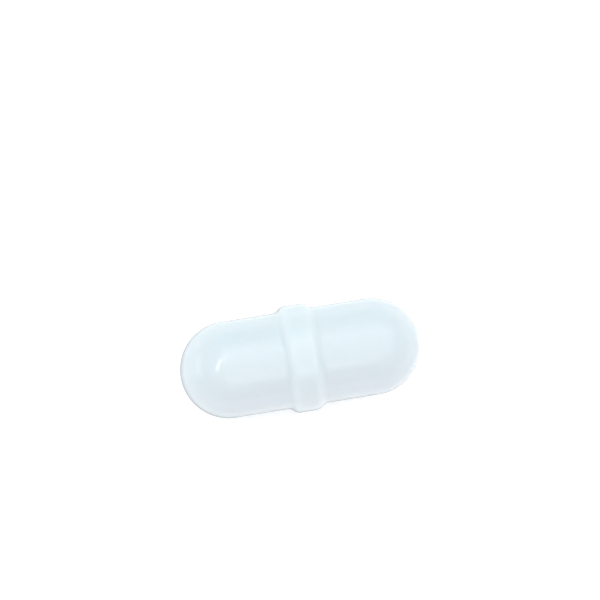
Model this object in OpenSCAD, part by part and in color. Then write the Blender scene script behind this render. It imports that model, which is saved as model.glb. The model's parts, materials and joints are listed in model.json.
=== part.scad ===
// Magnetic stir bar: a bar magnet sealed in a moulded PTFE jacket, with a pivot ring round its middle.
// The bar lies along X and balances on its ring. The origin is the ring's lowest point, where the bar
// turns on the floor of a vessel, and Z is the axis that it spins about.

/* [Bar] */
// Overall length, from tip to tip
bar_l = 20; // [14:0.5:40]
// Diameter of the barrel and of its two round ends
barrel_d = 8; // [6:0.1:12]

/* [Pivot ring] */
// How far the ring stands proud of the barrel
ring_rise = 0.45; // [0.2:0.01:1.2]
// Width of the ring's flat crown
crown_w = 1.3; // [0.6:0.1:3]
// Radius of the shoulder at each edge of the crown
shoulder_r = 0.8; // [0.1:0.05:1.5]
// Radius of the hollow where the ring runs into the barrel
hollow_r = 0.8; // [0.1:0.05:1.5]

/* [Jacket] */
// Thickness of the jacket over the side of the magnet
side_wall = 1.5; // [1:0.1:2.5]
// Thickness of the jacket over each end of the magnet, measured at the tip
end_wall = 3; // [2.3:0.1:5]

/* [Magnet] */
// Chamfer ground round both ends of the magnet
magnet_chamfer = 0.3; // [0.1:0.05:0.8]
// Gap all round the magnet: none, because the jacket is moulded on to it and shrinks tight
moulding_gap = 0; // [0:0.01:0.1]

/* [Hidden] */
$fn = 96;

barrel_r = barrel_d / 2;
// Half the length of the straight barrel, from the ring's middle to the centre of a round end
barrel_half = bar_l / 2 - barrel_r;
ring_r = barrel_r + ring_rise;
crown_half = crown_w / 2;

// The shoulder turns down by this angle before the hollow turns it back to the barrel. Where the ring
// is taller than both radii together, that is a right angle with a straight flank between them.
blend_r = shoulder_r + hollow_r;
blend_angle = ring_rise < blend_r ? acos(1 - ring_rise / blend_r) : 90;
// Half the ring's width at its foot, where the hollow meets the barrel
foot_half = crown_half + blend_r * sin(blend_angle);

magnet_r = barrel_r - side_wall - moulding_gap;
magnet_half = bar_l / 2 - end_wall - moulding_gap;
// On a thin magnet the chamfer stops at half the radius
chamfer = min(magnet_chamfer, magnet_r / 2);

// Stands a shape that was turned about Z on its ring, with its axis along X
module lying() {
    translate([0, 0, ring_r]) rotate([0, 90, 0]) children();
}

// Both halves of what is drawn on the positive side of the bar's middle
module both_halves() {
    children();
    mirror([0, 1]) children();
}

// Half the outline of the capsule: the distance from the axis runs along X, and the axis runs along Y
module capsule_outline() {
    both_halves() {
        square([barrel_r, barrel_half]);
        translate([0, barrel_half]) intersection() {
            circle(barrel_r);
            square(barrel_r);
        }
    }
}

// Half the outline of the ring, from the axis out to its crown: a round shoulder that flows into a hollow
module ring_outline() {
    shoulder_centre = [ring_r - shoulder_r, crown_half];
    hollow_centre = [barrel_r + hollow_r, foot_half];
    shoulder_end = shoulder_centre + shoulder_r * [cos(blend_angle), sin(blend_angle)];
    hollow_start = hollow_centre - hollow_r * [cos(blend_angle), sin(blend_angle)];
    flank = ring_rise > blend_r ? [shoulder_end, hollow_start] : [shoulder_end];

    both_halves() {
        square([ring_r, crown_half]);
        translate(shoulder_centre) circle(shoulder_r);
        difference() {
            polygon(concat(
                [[0, 0], shoulder_centre],
                flank,
                [[barrel_r, foot_half], [0, foot_half]]
            ));
            translate(hollow_centre) circle(hollow_r);
        }
    }
}

// Half the outline of the magnet, grown by gap on every side
module magnet_outline(gap = 0) {
    r = magnet_r + gap;
    half = magnet_half + gap;
    // A slightly longer chamfer keeps the gap across it as wide as on the sides
    cut = chamfer + (2 - sqrt(2)) * gap;
    polygon([[0, -half], [r - cut, -half], [r, cut - half], [r, half - cut], [r - cut, half], [0, half]]);
}

// White PTFE jacket, with the pivot ring moulded in one piece with it
module jacket() {
    color("#E8F1F5") lying() difference() {
        rotate_extrude() {
            capsule_outline();
            ring_outline();
        }
        rotate_extrude() magnet_outline(moulding_gap);
    }
}

// Aluminium-nickel-cobalt rod, ground to size and magnetised along its length
module bar_magnet() {
    color("#6E7073") lying() rotate_extrude() magnet_outline();
}

jacket();
bar_magnet();
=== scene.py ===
# %% [markdown]
# # A magnetic stir bar
# A magnetic stir bar is a bar magnet sealed in a smooth white plastic jacket. It lies in a beaker, and a
# magnet turning below the beaker spins it. The jacket is PTFE, moulded round the magnet in one piece, with
# two round ends and a raised ring round its middle that the bar pivots on.
#
# The CAD part already gives both bodies at their real size: `jacket` and `bar_magnet`. This lesson gives
# them their looks. It loads the part as a fixed frame, so that each thing modelled here has a place to go.

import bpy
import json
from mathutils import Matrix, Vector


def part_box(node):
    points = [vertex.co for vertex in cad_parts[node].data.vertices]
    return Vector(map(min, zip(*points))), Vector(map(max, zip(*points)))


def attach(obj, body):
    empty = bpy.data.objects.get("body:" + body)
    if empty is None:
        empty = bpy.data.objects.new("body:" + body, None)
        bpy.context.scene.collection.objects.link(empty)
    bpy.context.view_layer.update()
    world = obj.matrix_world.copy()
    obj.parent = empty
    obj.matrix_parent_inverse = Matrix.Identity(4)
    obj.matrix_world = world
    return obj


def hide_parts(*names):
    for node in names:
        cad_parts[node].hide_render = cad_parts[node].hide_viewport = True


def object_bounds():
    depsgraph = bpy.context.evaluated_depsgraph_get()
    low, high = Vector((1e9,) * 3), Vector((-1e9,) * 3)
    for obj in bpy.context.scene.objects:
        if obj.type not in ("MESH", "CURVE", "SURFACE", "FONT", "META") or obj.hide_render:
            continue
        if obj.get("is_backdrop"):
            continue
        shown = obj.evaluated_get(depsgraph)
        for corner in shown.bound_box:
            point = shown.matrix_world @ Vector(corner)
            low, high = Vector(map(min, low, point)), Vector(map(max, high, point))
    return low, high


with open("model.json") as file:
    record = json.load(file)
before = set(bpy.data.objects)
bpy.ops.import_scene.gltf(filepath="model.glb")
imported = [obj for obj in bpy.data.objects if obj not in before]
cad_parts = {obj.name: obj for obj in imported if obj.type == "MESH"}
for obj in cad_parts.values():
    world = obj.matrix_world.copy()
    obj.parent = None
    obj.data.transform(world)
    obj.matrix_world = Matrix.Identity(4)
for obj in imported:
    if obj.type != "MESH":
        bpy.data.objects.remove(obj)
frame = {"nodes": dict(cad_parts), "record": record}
cad_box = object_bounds()
print("CAD nodes:", sorted(frame["nodes"]))

# %% [markdown]
# Blender works in metres here, and a stir bar is measured in millimetres, so a small constant turns one
# into the other. The overall sizes are read from the CAD bodies, and the width of the ring's crown from the
# part's record. Only the sizes that neither can tell, such as the radius of a fillet, are written down again.

# %% Sizes of the jacket
import math

import bpy
from mathutils import Matrix, Vector

MM = 0.001

jacket_low, jacket_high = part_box("jacket")
mounts = {mount["name"]: mount for mount in frame["record"]["mounts"]}

bar_length = jacket_high.x - jacket_low.x
ring_radius = (jacket_high.z - jacket_low.z) / 2
axis_height = (jacket_high.z + jacket_low.z) / 2
crown_width = mounts["ring_rim"]["dims"]["length_mm"] * MM
ring_rise = 0.45 * MM
shoulder_radius = 0.8 * MM
hollow_radius = 0.8 * MM

barrel_radius = ring_radius - ring_rise
end_x = -(bar_length / 2 - barrel_radius)
for part, size in {"bar": bar_length, "barrel": 2 * barrel_radius, "ring": 2 * ring_radius}.items():
    print(f"{part}: {size / MM:.2f} mm")

# %% [markdown]
# ## The camera
# A small part is shown best from almost straight above with a long lens, which keeps both ends the same
# size. A camera can be aimed by hand with rotations, but three perpendicular directions are easier to
# reason about: one towards the camera, one to the right of the frame and one up the frame. As the columns
# of a matrix they are the camera's rotation.
#
# The bar lies a little askew in the frame. Its direction as the camera sees it is found first, and the
# frame's right-hand direction is then turned away from it by the slope that the bar should show.

# %% Place the camera
FRAME_PIXELS = 600
BAR_MIDDLE_PIXEL = (300.16, 358.1)
BAR_LENGTH_PIXELS = 242.3
BAR_SLOPE = math.radians(9.16)
FOCAL_LENGTH_MM = 290
SENSOR_MM = 36

towards_camera = Vector((-0.0837, -0.171, 0.982)).normalized()
bar_axis = Vector((1, 0, 0))
bar_seen = (bar_axis - bar_axis.dot(towards_camera) * towards_camera).normalized()
above_bar = towards_camera.cross(bar_seen)
frame_right = math.cos(BAR_SLOPE) * bar_seen - math.sin(BAR_SLOPE) * above_bar
frame_up = towards_camera.cross(frame_right)

metres_per_pixel = bar_length / BAR_LENGTH_PIXELS
bar_middle = Vector((0, 0, axis_height))
right_of_bar = (FRAME_PIXELS / 2 - BAR_MIDDLE_PIXEL[0]) * metres_per_pixel
above_middle = (BAR_MIDDLE_PIXEL[1] - FRAME_PIXELS / 2) * metres_per_pixel
aim = bar_middle + right_of_bar * frame_right + above_middle * frame_up
distance = FRAME_PIXELS * metres_per_pixel * FOCAL_LENGTH_MM / SENSOR_MM

bpy.ops.object.select_all(action="DESELECT")
bpy.ops.object.camera_add()
camera = bpy.context.active_object
camera.name = "camera"
camera.data.lens = FOCAL_LENGTH_MM
camera.data.sensor_width = SENSOR_MM
camera.matrix_world = Matrix.Translation(aim + distance * towards_camera) @ Matrix(
    (frame_right, frame_up, towards_camera)
).transposed().to_4x4()
bpy.context.scene.camera = camera
print(f"camera {distance:.3f} m from the bar")

# %% [markdown]
# ## Colours
# Paint and plastics are matched in sRGB, the values that a colour picker shows as a hex code.
# Blender's sockets take linear light instead, so one function turns the first into the second.

# %% Turn a hex colour to linear
def linear(hex_colour):
    """The linear red, green, blue and alpha of an sRGB colour such as "#E8F1F5"."""
    channels = [int(hex_colour[start : start + 2], 16) / 255 for start in (1, 3, 5)]
    return [c / 12.92 if c <= 0.04045 else ((c + 0.055) / 1.055) ** 2.4 for c in channels] + [1.0]

# %% [markdown]
# ## Helpers for materials
# Every material below is a small graph of nodes. One function adds a node, sets its options, and fills its
# inputs: a socket is linked, and anything else is set as the input's own value. A second one starts a
# material with none of the nodes that Blender would give it.

# %% Helpers for a node and a material
def add_node(tree, kind, options=None, inputs=None):
    """Adds a node of this kind. Options are its settings, and inputs are values or sockets to link."""
    node = tree.nodes.new(kind)
    for option, value in (options or {}).items():
        setattr(node, option, value)
    for socket, value in (inputs or {}).items():
        if isinstance(value, bpy.types.NodeSocket):
            tree.links.new(value, node.inputs[socket])
        else:
            node.inputs[socket].default_value = value
    return node


def new_material(name):
    """A material with an empty node graph."""
    material = bpy.data.materials.new(name)
    material.use_nodes = True
    material.node_tree.nodes.clear()
    return material

# %% [markdown]
# ## Light
# A white object on white needs soft light from all round, with broad brighter patches to draw its shape.
# Here that is a light tent: big softboxes over the bar, two low ones at its sides, and a pale glow between
# them.
#
# A softbox's size matters more than its power, because its outline is what shines back from the bar. So
# each is given by its edges and by a radiance, which is how bright its face looks. The power in watts
# follows from both. Lamps are hidden from the camera, which looks down past them.

# %% Helper for a softbox
LAMP_HEIGHT = 0.3
WATTS_PER_RADIANCE = math.pi  # an area lamp of this many watts to the square metre has a radiance of 1


def hang_softbox(name, centre, size, facing, radiance):
    """Hangs a flat rectangular lamp. Centre and size are in lamp heights, measured from the bar's middle."""
    bpy.ops.object.select_all(action="DESELECT")
    bpy.ops.object.light_add(type="AREA", location=bar_middle + LAMP_HEIGHT * Vector(centre))
    softbox = bpy.context.active_object
    softbox.name = name
    softbox.rotation_euler = Vector(facing).to_track_quat("-Z", "Y").to_euler()
    softbox.data.shape = "RECTANGLE"
    softbox.data.size = size[0] * LAMP_HEIGHT
    softbox.data.size_y = size[1] * LAMP_HEIGHT
    softbox.data.energy = radiance * WATTS_PER_RADIANCE * softbox.data.size * softbox.data.size_y
    softbox.visible_camera = False
    print(f"{name}: {softbox.data.energy:.3f} W")

# %% [markdown]
# The softboxes overhead lie side by side and give the long gleam down the barrel, and where the gleam ends
# is where they end. One strip brightens its far side, and another carries it on a little at the front.
# Three small bright lamps, set round a corner at the left, draw the bright arc on the left end. To the left
# of the middle softbox a gap is left, which shows as a darker line between the arc and the gleam.
#
# Where two of them overlap, their light adds up. Each hangs a little lower than the last, so that no two
# share a plane there, and is drawn in by as much, so that its edges look the same from the bar.

# %% Hang the softboxes overhead
DROP = 0.01  # how much lower each hangs than the last, in lamp heights
OVERHEAD = {  # left edge, right edge, front edge, back edge, radiance
    "middle_softbox": (-0.30, 0.67, -0.88, 0.80, 1.04),
    "right_softbox": (0.67, 1.20, -0.64, 0.78, 1.01),
    "left_softbox": (-1.20, -0.40, -0.75, 0.60, 0.32),
    "back_softbox": (-0.31, 0.69, 0.75, 1.26, 0.51),
    "back_strip": (-0.22, 0.60, 0.25, 0.60, 0.46),
    "front_strip": (-0.04, 0.21, -1.22, -0.72, 0.83),
    "arc_side": (-0.61, -0.46, -0.14, 0.12, 3.8),
    "arc_corner": (-0.54, -0.32, 0.12, 0.27, 4.2),
    "arc_top": (-0.44, -0.08, 0.27, 0.39, 2.9),
}
for index, (name, (left, right, front, back, radiance)) in enumerate(OVERHEAD.items()):
    height = 1 - index * DROP
    middle = (height * (left + right) / 2, height * (front + back) / 2, height)
    hang_softbox(name, middle, (height * (right - left), height * (back - front)), (0, 0, -1), radiance)

# %% [markdown]
# The two round ends face sideways, so each gets a softbox of its own, low down at that side and a little
# further away than the others. The left one is the larger and the brighter of the two.

# %% Stand the softboxes at the sides
BESIDE = {  # centre, size, facing, radiance
    "left_wall_softbox": ((-1.25, 0.36, 0.245), (1.26, 0.37), (1, 0, 0), 1.42),
    "right_wall_softbox": ((1.25, 0.43, 0.175), (0.58, 0.35), (-1, 0, 0), 0.53),
}
for name, (centre, size, facing, radiance) in BESIDE.items():
    hang_softbox(name, centre, size, facing, radiance)

# %% [markdown]
# The glow between the softboxes is the world's own light. Daylight comes from behind the bar and the light
# of a room from in front, so its colour runs from a slightly cool white to a slightly warm one.

# %% Fill the tent with a glow
TENT_GLOW = 0.67
ROOM_WHITE = "#FFEDEF"
DAYLIGHT_WHITE = "#F1FAFF"

world = bpy.data.worlds.new("light_tent")
world.use_nodes = True
tree = world.node_tree
direction = add_node(tree, "ShaderNodeTexCoord")
parts = add_node(tree, "ShaderNodeSeparateXYZ", inputs={"Vector": direction.outputs["Generated"]})
front_to_back = add_node(
    tree,
    "ShaderNodeMapRange",
    inputs={"Value": parts.outputs["Y"], "From Min": -1.0, "From Max": 1.0},
)
tent = add_node(
    tree,
    "ShaderNodeMix",
    options={"data_type": "RGBA"},
    inputs={
        "Factor": front_to_back.outputs["Result"],
        "A": linear(ROOM_WHITE),
        "B": linear(DAYLIGHT_WHITE),
    },
)
tent_light = add_node(
    tree,
    "ShaderNodeBackground",
    inputs={"Color": tent.outputs["Result"], "Strength": TENT_GLOW},
)
print(f"the tent glows at {TENT_GLOW}, from {ROOM_WHITE} in front to {DAYLIGHT_WHITE} behind")

# %% [markdown]
# Below the horizon the world stands in for the lit table in the bar's reflections. Only they see it,
# because the table itself hides it from all other light. The skin near the bar's outline is seen at a
# slant, where it mirrors most, and what it mirrors is the table: a bright rim. At the outline itself it
# mirrors the patch right under the bar, which the bar shades: a thin grey line. The real table would have to
# be overexposed to give that rim, so what is seen and what is mirrored are set apart here.

# %% Light the table that the bar mirrors
TABLE_SHINE = 1.38
SHADE_SHINE = 0.4
SHADE_CENTRE = Vector((-0.16, 0.1, -0.98)).normalized()  # below the bar, a little to the left
SHADE_STARTS, SHADE_FULL = 0.84, 0.97  # cosines of the angle from its centre

towards_shade = add_node(
    tree,
    "ShaderNodeVectorMath",
    options={"operation": "DOT_PRODUCT"},
    inputs={0: direction.outputs["Generated"], 1: SHADE_CENTRE},
)
shine = add_node(
    tree,
    "ShaderNodeMapRange",
    options={"interpolation_type": "SMOOTHSTEP"},
    inputs={
        "Value": towards_shade.outputs["Value"],
        "From Min": SHADE_STARTS,
        "From Max": SHADE_FULL,
        "To Min": TABLE_SHINE,
        "To Max": SHADE_SHINE,
    },
)
table_light = add_node(
    tree,
    "ShaderNodeBackground",
    inputs={"Color": linear("#FFFFFF"), "Strength": shine.outputs["Result"]},
)
shade_angle = math.degrees(math.acos(SHADE_STARTS))
print(f"the mirrored table shines at {TABLE_SHINE}, but less within {shade_angle:.0f} degrees of the shade")

# %% Put the two halves of the world together
HORIZON = 0.0

below = add_node(tree, "ShaderNodeMath", {"operation": "LESS_THAN"}, {0: parts.outputs["Z"], 1: HORIZON})
light = add_node(
    tree,
    "ShaderNodeMixShader",
    inputs={
        "Fac": below.outputs["Value"],
        1: tent_light.outputs["Background"],
        2: table_light.outputs["Background"],
    },
)
tree.links.new(light.outputs["Shader"], tree.nodes["World Output"].inputs["Surface"])
bpy.context.scene.world = world
bpy.context.scene.view_settings.view_transform = "Standard"
print(f"world: {world.name}, {len(tree.nodes)} nodes")

# %% [markdown]
# ## The table
# The bar stands on a light table: a sheet of opal acrylic that is lit from below. It glows a little by
# itself, so that the bar's own shadow is faint, and it is a plain pale floor from every side. Reflections
# leave it out, because the world's lower half stands in for it there.

# %% Make the light table
TABLE_RADIUS = 1.2
TABLE_SIDES = 64
TABLE_GLOW = 0.2

opal_acrylic = new_material("opal_acrylic_light_table")
tree = opal_acrylic.node_tree
table_shader = add_node(
    tree,
    "ShaderNodeBsdfPrincipled",
    inputs={
        "Base Color": linear("#F8F9FA"),
        "Roughness": 0.7,
        "Emission Color": linear("#FFFFFF"),
        "Emission Strength": TABLE_GLOW,
    },
)
add_node(tree, "ShaderNodeOutputMaterial", inputs={"Surface": table_shader.outputs["BSDF"]})

bpy.ops.object.select_all(action="DESELECT")
bpy.ops.mesh.primitive_circle_add(vertices=TABLE_SIDES, radius=TABLE_RADIUS, fill_type="NGON")
table_top = bpy.context.active_object
table_top.name = "table_top"
table_top.data.materials.append(opal_acrylic)
table_top.visible_glossy = False
table_top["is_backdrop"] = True
print(f"table: {2 * TABLE_RADIUS:.1f} m across")

# %% [markdown]
# ## The jacket's outline
# PTFE powder is pressed and sintered round the magnet in a two-part mould, and the bar comes out as round
# as if it had been turned on a lathe. So it is modelled as a lathe would make it: half an outline is drawn
# in the plane of the bar's axis, and swept round that axis.
#
# Blender has no single vertex to start from, so a tiny plane is merged into its middle. In edit mode,
# extruding that vertex draws a straight line, and spinning it draws an arc. Both leave only the new end
# selected, so that each call carries on from the last, like a pencil.

# %% Helpers that draw an outline
EDGE_LENGTH = 0.13 * MM  # fine enough for smooth reflections and for the waves that come later


def start_outline(name, place):
    """A new mesh in edit mode with one selected vertex at this place, and its object at the origin."""
    bpy.ops.object.select_all(action="DESELECT")
    bpy.ops.mesh.primitive_plane_add(size=MM, location=place)
    piece = bpy.context.active_object
    piece.name = name
    bpy.ops.object.transform_apply()
    bpy.ops.object.mode_set(mode="EDIT")
    bpy.ops.mesh.select_all(action="SELECT")
    bpy.ops.mesh.merge(type="CENTER")
    return piece


def draw_line(length, steps):
    """Extrudes the selected vertex along X in equal steps."""
    for _ in range(steps):
        bpy.ops.mesh.extrude_region_move(TRANSFORM_OT_translate={"value": (length / steps, 0, 0)})


def draw_arc(centre_x, centre_z, angle, steps):
    """Spins the selected vertex in the XZ plane. A positive angle runs clockwise, seen from the front."""
    bpy.ops.mesh.spin(steps=steps, angle=angle, center=(centre_x, 0, centre_z), axis=(0, -1, 0))

# %% [markdown]
# The outline starts at the left tip. A quarter circle makes the round end and runs smoothly into the
# straight barrel. The ring then grows out of the barrel without a corner: a hollow fillet turns up by an
# angle, a rounded shoulder turns back by the same angle, and the flat crown follows. That angle comes from
# how high the two arcs together climb, which has to be how far the ring stands proud.

# %% Draw the left half of the outline
blend_radius = shoulder_radius + hollow_radius
blend_angle = math.acos(1 - ring_rise / blend_radius)
crown_x = -crown_width / 2
foot_x = crown_x - blend_radius * math.sin(blend_angle)
FILLET_STEPS = 10

jacket = start_outline("ptfe_jacket", (jacket_low.x, 0, axis_height))
draw_arc(end_x, axis_height, math.pi / 2, round(barrel_radius * math.pi / 2 / EDGE_LENGTH))
draw_line(foot_x - end_x, round((foot_x - end_x) / EDGE_LENGTH))
draw_arc(foot_x, axis_height + barrel_radius + hollow_radius, -blend_angle, FILLET_STEPS)
draw_arc(crown_x, axis_height + ring_radius - shoulder_radius, blend_angle, FILLET_STEPS)
draw_line(-crown_x, round(-crown_x / EDGE_LENGTH))
bpy.ops.object.mode_set(mode="OBJECT")
print(f"half outline: {len(jacket.data.vertices)} points")
print(f"the fillets turn {math.degrees(blend_angle):.1f} degrees")

# %% [markdown]
# The right half is the same outline mirrored, so a Mirror modifier copies it and welds the two at the
# middle. Spinning all of it a full turn about the bar's axis gives the skin. The two tips lie on the axis,
# where every step leaves one more vertex, so doubles are merged to close the poles. The spin may turn
# faces inside out, so the normals are recalculated while the skin is still one closed shell.

# %% Mirror the outline and sweep it round the axis
TURN_STEPS = 192
SAME_PLACE = 0.001 * MM

mirror = jacket.modifiers.new("other_half", "MIRROR")
mirror.use_axis = (True, False, False)
bpy.ops.object.modifier_apply(modifier=mirror.name)

bpy.ops.object.mode_set(mode="EDIT")
bpy.ops.mesh.select_all(action="SELECT")
bpy.ops.mesh.spin(steps=TURN_STEPS, angle=2 * math.pi, center=(0, 0, axis_height), axis=(1, 0, 0))
bpy.ops.mesh.select_all(action="SELECT")
bpy.ops.mesh.remove_doubles(threshold=SAME_PLACE)
bpy.ops.mesh.normals_make_consistent(inside=False)
bpy.ops.object.mode_set(mode="OBJECT")
print(f"skin: {len(jacket.data.polygons)} faces")

# %% [markdown]
# Sintered PTFE is never quite true. It cools unevenly, so its skin rolls by a few thousandths of a
# millimetre over a couple of millimetres, which is far too little to see in the outline but enough to make
# the edge of a reflection wander. A Displace modifier with a soft cloud texture does the same.

# %% Let the skin roll a little
WAVE_HEIGHT = 0.012 * MM
WAVE_LENGTH = 2.2 * MM

waves = bpy.data.textures.new("cooling_waves", "CLOUDS")
waves.noise_scale = WAVE_LENGTH
waves.noise_depth = 1
rolling = jacket.modifiers.new("cooling_waves", "DISPLACE")
rolling.texture = waves
rolling.texture_coords = "LOCAL"
rolling.strength = WAVE_HEIGHT
bpy.ops.object.modifier_apply(modifier=rolling.name)
bpy.ops.object.shade_smooth()
print(f"the skin rolls by up to {WAVE_HEIGHT / MM:.3f} mm over {WAVE_LENGTH / MM:.1f} mm")

# %% [markdown]
# ## The wall's inner face
# Light sinks into PTFE and wanders about before it comes out again. Over the magnet the wall is only
# 1.5 mm thick and some of that light is lost in the metal, which is why the barrel looks a touch darker
# than the ring. Blender gets this right only if the wall is real, so the jacket needs its inner face.
#
# It has the magnet's shape: a cylinder with a chamfer at both ends. Faces point out of the plastic, which
# on the inner face is towards the axis. It is made and flipped by itself, because recalculating the normals
# of two skins, one inside the other, would turn it round again.

# %% Make the space for the magnet
magnet_low, magnet_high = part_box("bar_magnet")
CLEARANCE = 0.01 * MM  # keeps the wall's inner face just off the magnet's own
CHAMFER = 0.3 * MM
SPACE_SIDES = 96
SMOOTH_UP_TO = math.radians(30)  # a sharper corner stays an edge

space_radius = (magnet_high.z - magnet_low.z) / 2 + CLEARANCE
space_length = magnet_high.x - magnet_low.x + 2 * CLEARANCE

bpy.ops.object.select_all(action="DESELECT")
bpy.ops.mesh.primitive_cylinder_add(
    vertices=SPACE_SIDES,
    radius=space_radius,
    depth=space_length,
    end_fill_type="TRIFAN",
    location=bar_middle,
    rotation=(0, math.pi / 2, 0),
)
space = bpy.context.active_object
space.name = "magnet_space"
bpy.ops.object.transform_apply()

bpy.ops.object.mode_set(mode="EDIT")
bpy.ops.mesh.select_all(action="DESELECT")
bpy.ops.object.mode_set(mode="OBJECT")
for edge in space.data.edges:
    ends = [space.data.vertices[index].co for index in edge.vertices]
    along_axis = abs(ends[0].x - ends[1].x) > CHAMFER
    on_axis = min((end - Vector((end.x, 0, axis_height))).length for end in ends) < CHAMFER
    edge.select = not along_axis and not on_axis
bpy.ops.object.mode_set(mode="EDIT")
bpy.ops.mesh.bevel(offset=CHAMFER, segments=1, affect="EDGES")
bpy.ops.mesh.select_all(action="SELECT")
bpy.ops.mesh.normals_make_consistent(inside=False)
bpy.ops.mesh.flip_normals()
bpy.ops.object.mode_set(mode="OBJECT")
bpy.ops.object.shade_smooth_by_angle(angle=SMOOTH_UP_TO)
print(f"magnet space: {2 * space_radius / MM:.2f} mm by {space_length / MM:.2f} mm")

# %% [markdown]
# The wall is what lies between the two skins, so they become one mesh. Joining keeps each skin's faces as
# they are, and the result takes the name of the active object, the jacket.

# %% Join the two skins into one wall
space.select_set(True)
jacket.select_set(True)
bpy.context.view_layer.objects.active = jacket
bpy.ops.object.join()
print(f"jacket: {len(jacket.data.polygons)} faces")

# %% [markdown]
# ## White PTFE
# PTFE is white because it is full of tiny crystals that scatter light, not because it is pigmented. The
# crystals aren't evenly spread, which shows as soft cloudy patches a little darker and lighter than each
# other. Their colours are kept close, because real patches are only just visible.
#
# The ring is the thickest part of the wall, so less of its light is lost in the magnet. Its base colour is
# painted paler than the barrel's. This is painted light that stands in for that, and it also lifts the shade
# in the hollows at its foot. Light spreads sideways as it sinks in, so the painted paleness starts a little
# before the ring's foot, and it is full from half way up the ring's flank.

# %% Colour the PTFE
CLOUD_SIZE = 1.2 * MM
SPREAD = 0.6 * MM
DARKER_CLOUD = "#D2DFE3"
PALER_CLOUD = "#D6E3E7"
# painted light: the ring's base colour, paler than the barrel's
RING_PAINTED_LIGHT = "#D6E4E7"

white_ptfe = new_material("moulded_white_ptfe")
tree = white_ptfe.node_tree
place = add_node(tree, "ShaderNodeTexCoord")
clouds = add_node(
    tree,
    "ShaderNodeTexNoise",
    inputs={"Vector": place.outputs["Object"], "Scale": 1 / CLOUD_SIZE, "Detail": 3.0, "Roughness": 0.55},
)
cloudy = add_node(
    tree,
    "ShaderNodeMix",
    options={"data_type": "RGBA"},
    inputs={"Factor": clouds.outputs["Fac"], "A": linear(DARKER_CLOUD), "B": linear(PALER_CLOUD)},
)
parts = add_node(tree, "ShaderNodeSeparateXYZ", inputs={"Vector": place.outputs["Object"]})
off_middle = add_node(tree, "ShaderNodeMath", {"operation": "ABSOLUTE"}, {"Value": parts.outputs["X"]})
half_way_up = -(foot_x + crown_x) / 2
ring_light_mask = add_node(
    tree,
    "ShaderNodeMapRange",
    options={"interpolation_type": "SMOOTHSTEP"},
    inputs={
        "Value": off_middle.outputs["Value"],
        "From Min": SPREAD - foot_x,
        "From Max": half_way_up,
    },
)
# Painted light: the ring is painted paler, in place of the light its thicker wall keeps and to lift the shade
# in its hollows
ring_painted_light = add_node(
    tree,
    "ShaderNodeMix",
    options={"data_type": "RGBA"},
    inputs={"Factor": ring_light_mask.outputs["Result"], "A": cloudy.outputs["Result"], "B": linear(RING_PAINTED_LIGHT)},
)
print(f"the ring is palest within {half_way_up / MM:.2f} mm of the middle")

# %% [markdown]
# PTFE has the lowest refractive index of the common plastics, about 1.35. A moulded skin looks glossier
# than that, because it is dense and takes on the polish of the mould, so it is matched at 1.5, with a gloss
# that varies a little from patch to patch. Subsurface scattering over half a millimetre gives the faint
# translucence, and red travels furthest. The mould leaves a very fine grain, which is only a bump.

# %% Finish the PTFE material
GRAIN_SIZE = 0.25 * MM  # real moulding grain is about 0.05 mm, drawn coarser so that it shows
GRAIN_HEIGHT = 0.002 * MM
SCATTER_LENGTH = 0.5 * MM
NOISE_LOW, NOISE_HIGH = 0.3, 0.7  # a noise texture seldom leaves this range
GLOSSIEST, WAXIEST = 0.07, 0.11  # roughness

gloss_patches = add_node(
    tree,
    "ShaderNodeMapRange",
    inputs={
        "Value": clouds.outputs["Fac"],
        "From Min": NOISE_LOW,
        "From Max": NOISE_HIGH,
        "To Min": GLOSSIEST,
        "To Max": WAXIEST,
    },
)
grain = add_node(
    tree,
    "ShaderNodeTexNoise",
    inputs={"Vector": place.outputs["Object"], "Scale": 1 / GRAIN_SIZE, "Detail": 2.0},
)
grain_relief = add_node(
    tree,
    "ShaderNodeBump",
    inputs={"Strength": 0.5, "Distance": GRAIN_HEIGHT, "Height": grain.outputs["Fac"]},
)
ptfe_shader = add_node(
    tree,
    "ShaderNodeBsdfPrincipled",
    inputs={
        "Base Color": ring_painted_light.outputs["Result"],
        "Roughness": gloss_patches.outputs["Result"],
        "IOR": 1.5,
        "Subsurface Weight": 1.0,
        "Subsurface Radius": (1.0, 0.92, 0.85),
        "Subsurface Scale": SCATTER_LENGTH,
        "Normal": grain_relief.outputs["Normal"],
    },
)
add_node(tree, "ShaderNodeOutputMaterial", inputs={"Surface": ptfe_shader.outputs["BSDF"]})
jacket.data.materials.clear()
jacket.data.materials.append(white_ptfe)
print(f"{jacket.name}: {white_ptfe.name}, {len(tree.nodes)} nodes")

# %% [markdown]
# ## Ground AlNiCo
# The magnet is a rod of AlNiCo, a cast alloy that is ground to size between two wheels. It is a mid-grey
# metal, and the wheels leave fine rings round the rod, a few hundredths of a millimetre apart, which break
# up its shine. It lies out of sight in its jacket, so its real pitch is kept. One noise texture gives the
# rings, squeezed along the rod and stretched across it.

# %% Make the magnet's material
GRINDING_PITCH = 0.05 * MM
SCRATCH_LENGTH = 2 * MM
SCRATCH_DEPTH = 0.003 * MM
BRIGHTEST, DULLEST = 0.25, 0.45  # roughness

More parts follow.
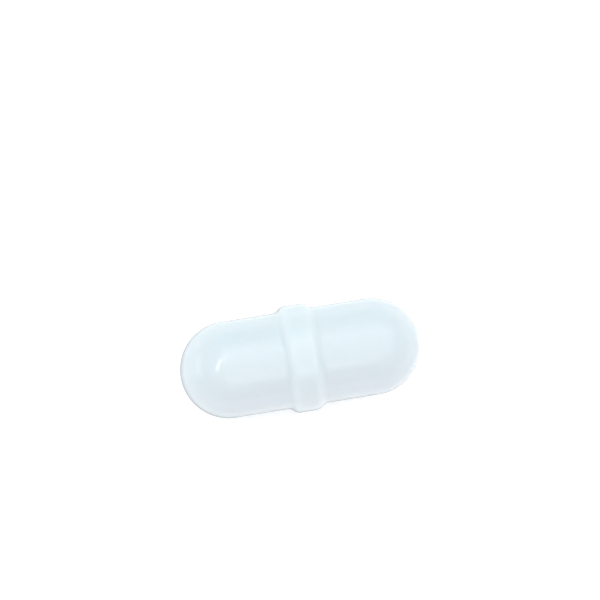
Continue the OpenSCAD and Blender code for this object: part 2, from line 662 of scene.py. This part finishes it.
ground_alnico = new_material("ground_alnico")
tree = ground_alnico.node_tree
place = add_node(tree, "ShaderNodeTexCoord")
rings = add_node(
    tree,
    "ShaderNodeMapping",
    inputs={
        "Vector": place.outputs["Object"],
        "Scale": (1 / GRINDING_PITCH, 1 / SCRATCH_LENGTH, 1 / SCRATCH_LENGTH),
    },
)
scratches = add_node(
    tree,
    "ShaderNodeTexNoise",
    inputs={"Vector": rings.outputs["Vector"], "Scale": 1.0, "Detail": 4.0},
)
dullness = add_node(
    tree,
    "ShaderNodeMapRange",
    inputs={
        "Value": scratches.outputs["Fac"],
        "From Min": NOISE_LOW,
        "From Max": NOISE_HIGH,
        "To Min": BRIGHTEST,
        "To Max": DULLEST,
    },
)
scratch_relief = add_node(
    tree,
    "ShaderNodeBump",
    inputs={"Strength": 0.4, "Distance": SCRATCH_DEPTH, "Height": scratches.outputs["Fac"]},
)
alnico_shader = add_node(
    tree,
    "ShaderNodeBsdfPrincipled",
    inputs={
        "Base Color": linear("#A9AAAC"),
        "Metallic": 1.0,
        "Roughness": dullness.outputs["Result"],
        "Normal": scratch_relief.outputs["Normal"],
    },
)
add_node(tree, "ShaderNodeOutputMaterial", inputs={"Surface": alnico_shader.outputs["BSDF"]})
magnet = frame["nodes"]["bar_magnet"]
magnet.data.materials.clear()
magnet.data.materials.append(ground_alnico)
print(f"{magnet.name}: {ground_alnico.name}, {len(tree.nodes)} nodes")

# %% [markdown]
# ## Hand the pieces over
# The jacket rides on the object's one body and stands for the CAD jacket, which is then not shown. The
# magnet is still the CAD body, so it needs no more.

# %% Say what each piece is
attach(jacket, "root")
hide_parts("jacket")
print("the jacket stands for its CAD body, and the magnet is its own")

# %% [markdown]
# The looks mustn't change the part's size. So two boxes are printed, in millimetres: that
# of the CAD part, kept from the first cell, and that of what shows now.

# %% Print the sizes and finish
import json

boxes = {"cad": cad_box, "visual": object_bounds()}
sizes = {name: [list(corner) for corner in box] for name, box in boxes.items()}
for name, corners in sizes.items():
    print(name, "box in mm:", [[round(value / MM, 3) for value in corner] for corner in corners])
